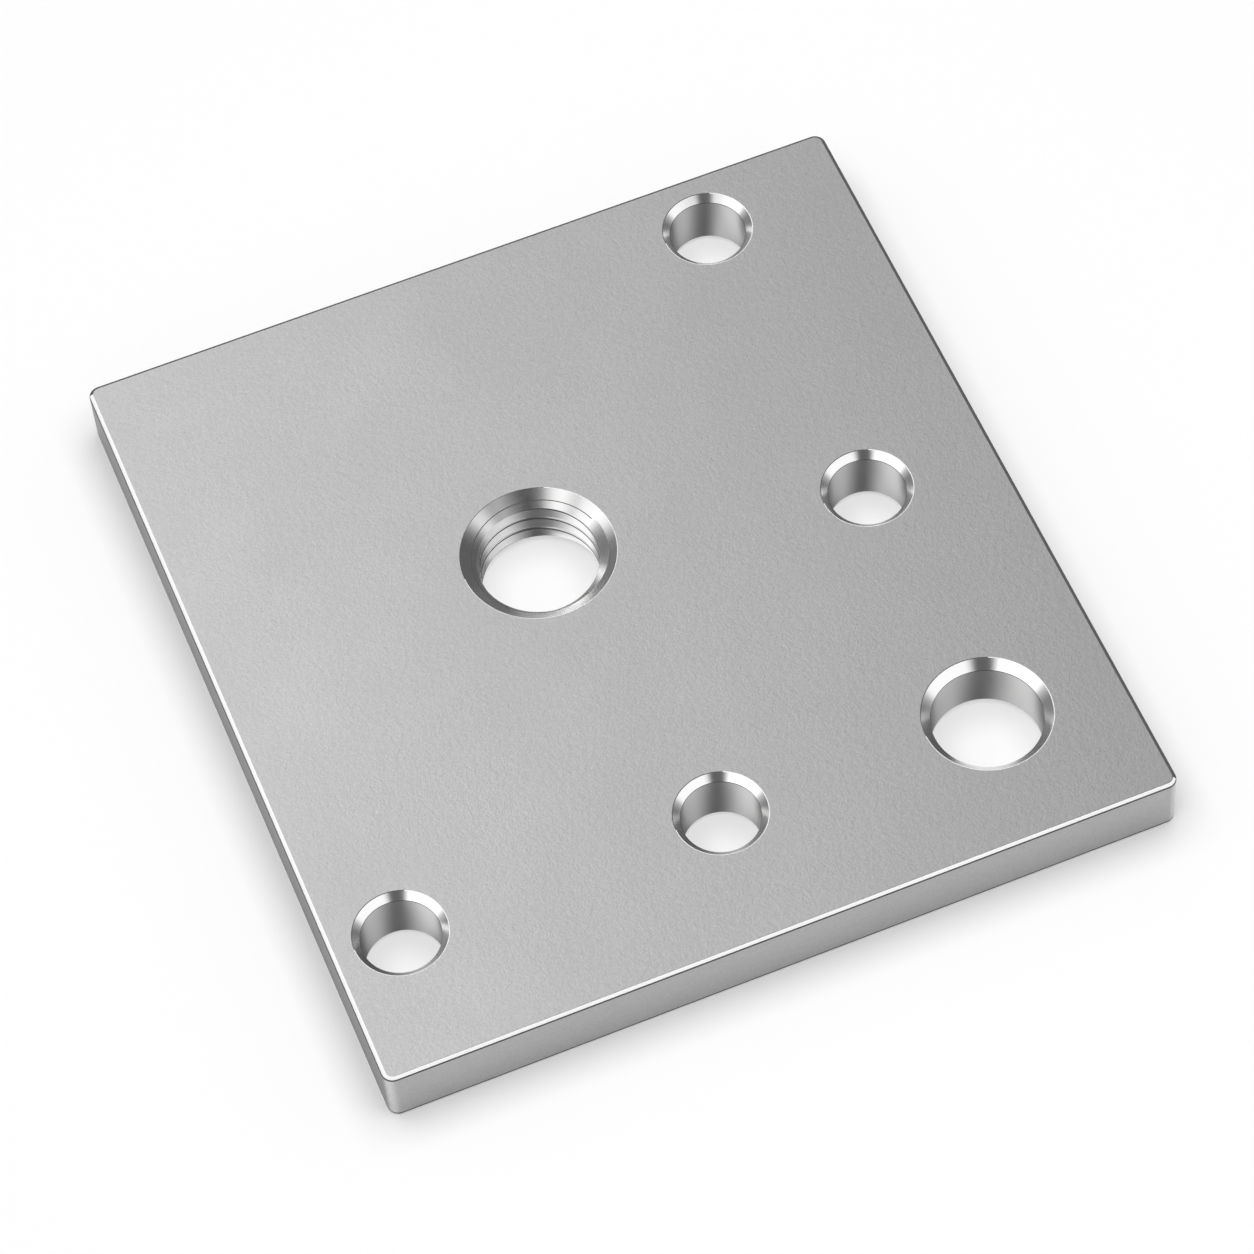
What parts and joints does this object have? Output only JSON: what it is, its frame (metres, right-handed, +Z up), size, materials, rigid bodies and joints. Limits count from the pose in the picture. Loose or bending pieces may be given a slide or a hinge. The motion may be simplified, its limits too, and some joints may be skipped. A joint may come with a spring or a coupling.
{
  "type": "adjuster plate",
  "caption": "Flat rectangular adjuster plate with bevelled edges, a countersunk tapped hole and chamfered plain holes for bolts and a guide post.",
  "frame": {"origin": "middle of the flat underside", "axes": "+X along the shorter side, +Y along the longer side towards the far edge, +Z up out of the countersunk face"},
  "size_m": [0.14, 0.15, 0.012],
  "materials": {
    "satin_metal": "fine bead-blasted satin faces, bright machined chamfers and bores"
  },
  "bodies": {
    "root": {"plate": "satin_metal"}
  },
  "joints": []
}
